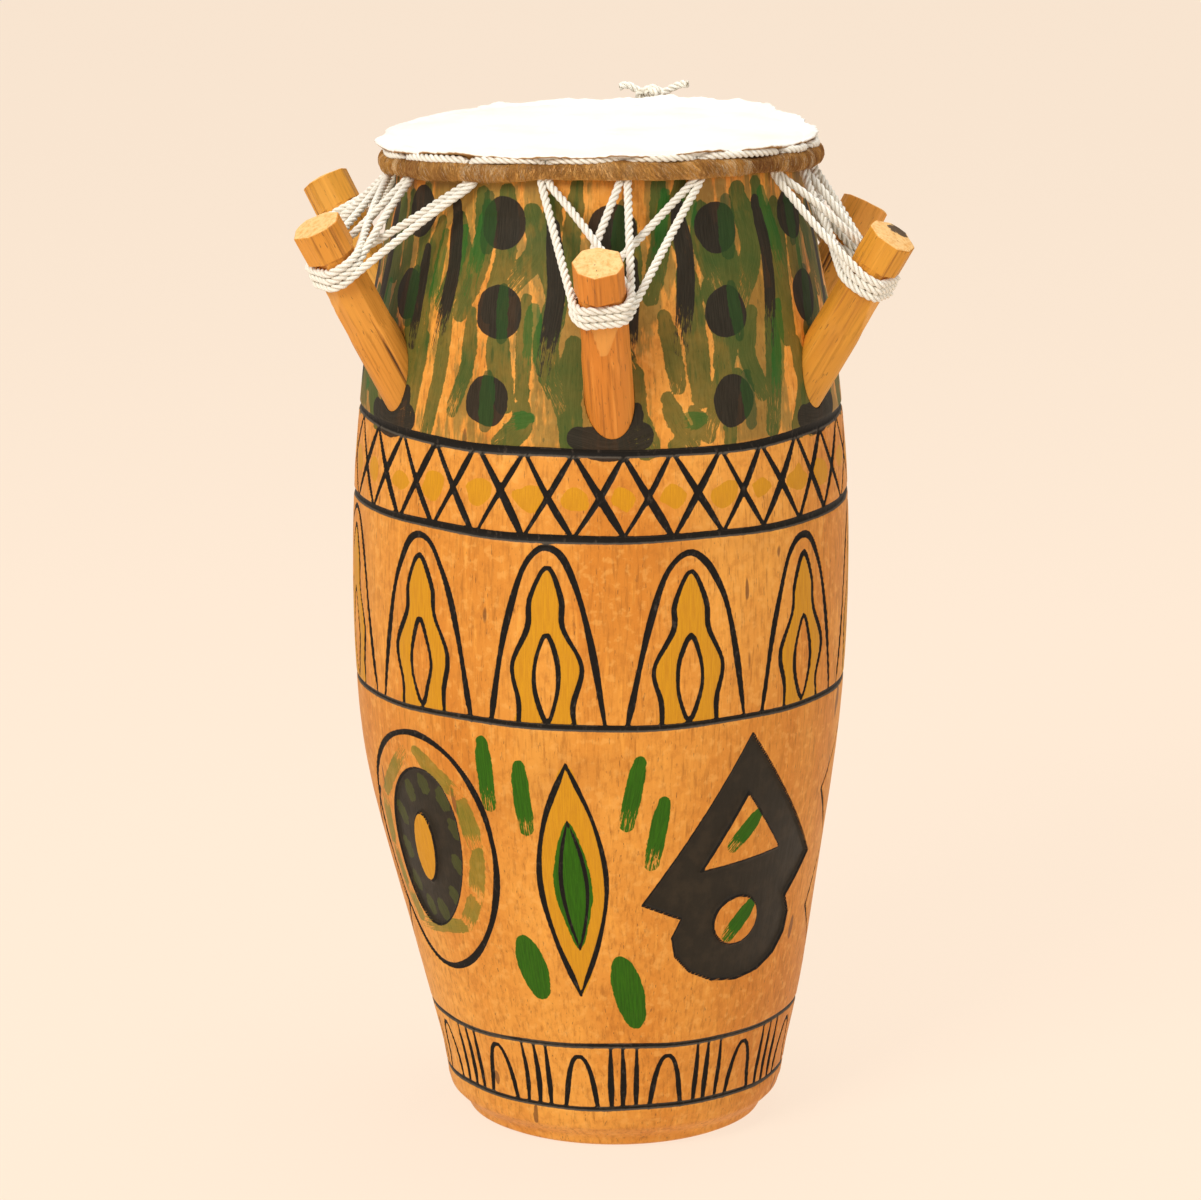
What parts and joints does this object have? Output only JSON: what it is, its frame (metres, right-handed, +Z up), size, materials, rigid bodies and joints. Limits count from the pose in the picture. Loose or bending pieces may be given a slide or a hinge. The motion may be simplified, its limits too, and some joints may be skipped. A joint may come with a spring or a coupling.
{
  "type": "hand drum",
  "caption": "Peg-tuned carved barrel hand drum with a laced goatskin head; the slanted tuning pegs slide in the shell wall to tighten or slacken the head.",
  "frame": {"origin": "centre of the head's axis on the floor plane the foot stands on", "axes": "+Z up the drum towards the head, -Y the front of the drum"},
  "size_m": [0.3383, 0.369, 0.5736],
  "materials": {
    "carved_wood": "satin",
    "peg_wood": "matte",
    "goatskin": "matte",
    "iron_hoop": "matte",
    "cotton_cord": "matte"
  },
  "bodies": {
    "drum": {"shell": "carved_wood", "head_skin": "goatskin", "flesh_hoop": "iron_hoop", "rim_cord": "cotton_cord", "cord_knot": "cotton_cord", "lacing_front": "cotton_cord", "lacing_front_right": "cotton_cord", "lacing_back_right": "cotton_cord", "lacing_back": "cotton_cord", "lacing_back_left": "cotton_cord", "lacing_front_left": "cotton_cord"},
    "peg_front": {"peg_front": "peg_wood"},
    "peg_front_right": {"peg_front_right": "peg_wood"},
    "peg_back_right": {"peg_back_right": "peg_wood"},
    "peg_back": {"peg_back": "peg_wood"},
    "peg_back_left": {"peg_back_left": "peg_wood"},
    "peg_front_left": {"peg_front_left": "peg_wood"}
  },
  "joints": [
    {"name": "drive_peg_front", "type": "slide", "parent": "drum", "child": "peg_front", "axis": [0.0618, 0.4705, -0.8802], "range_m": [-0.008, 0.012], "deforming": ["lacing_front"]},
    {"name": "drive_peg_front_right", "type": "slide", "parent": "drum", "child": "peg_front_right", "axis": [-0.4589, 0.2338, -0.8572], "range_m": [-0.008, 0.012], "deforming": ["lacing_front_right"]},
    {"name": "drive_peg_back_right", "type": "slide", "parent": "drum", "child": "peg_back_right", "axis": [-0.4592, -0.2493, -0.8526], "range_m": [-0.008, 0.012], "deforming": ["lacing_back_right"]},
    {"name": "drive_peg_back", "type": "slide", "parent": "drum", "child": "peg_back", "axis": [0, -0.4848, -0.8746], "range_m": [-0.008, 0.012], "deforming": ["lacing_back"]},
    {"name": "drive_peg_back_left", "type": "slide", "parent": "drum", "child": "peg_back_left", "axis": [0.4505, -0.2497, -0.8572], "range_m": [-0.008, 0.012], "deforming": ["lacing_back_left"]},
    {"name": "drive_peg_front_left", "type": "slide", "parent": "drum", "child": "peg_front_left", "axis": [0.4221, 0.2536, -0.8704], "range_m": [-0.008, 0.012], "deforming": ["lacing_front_left"]}
  ]
}
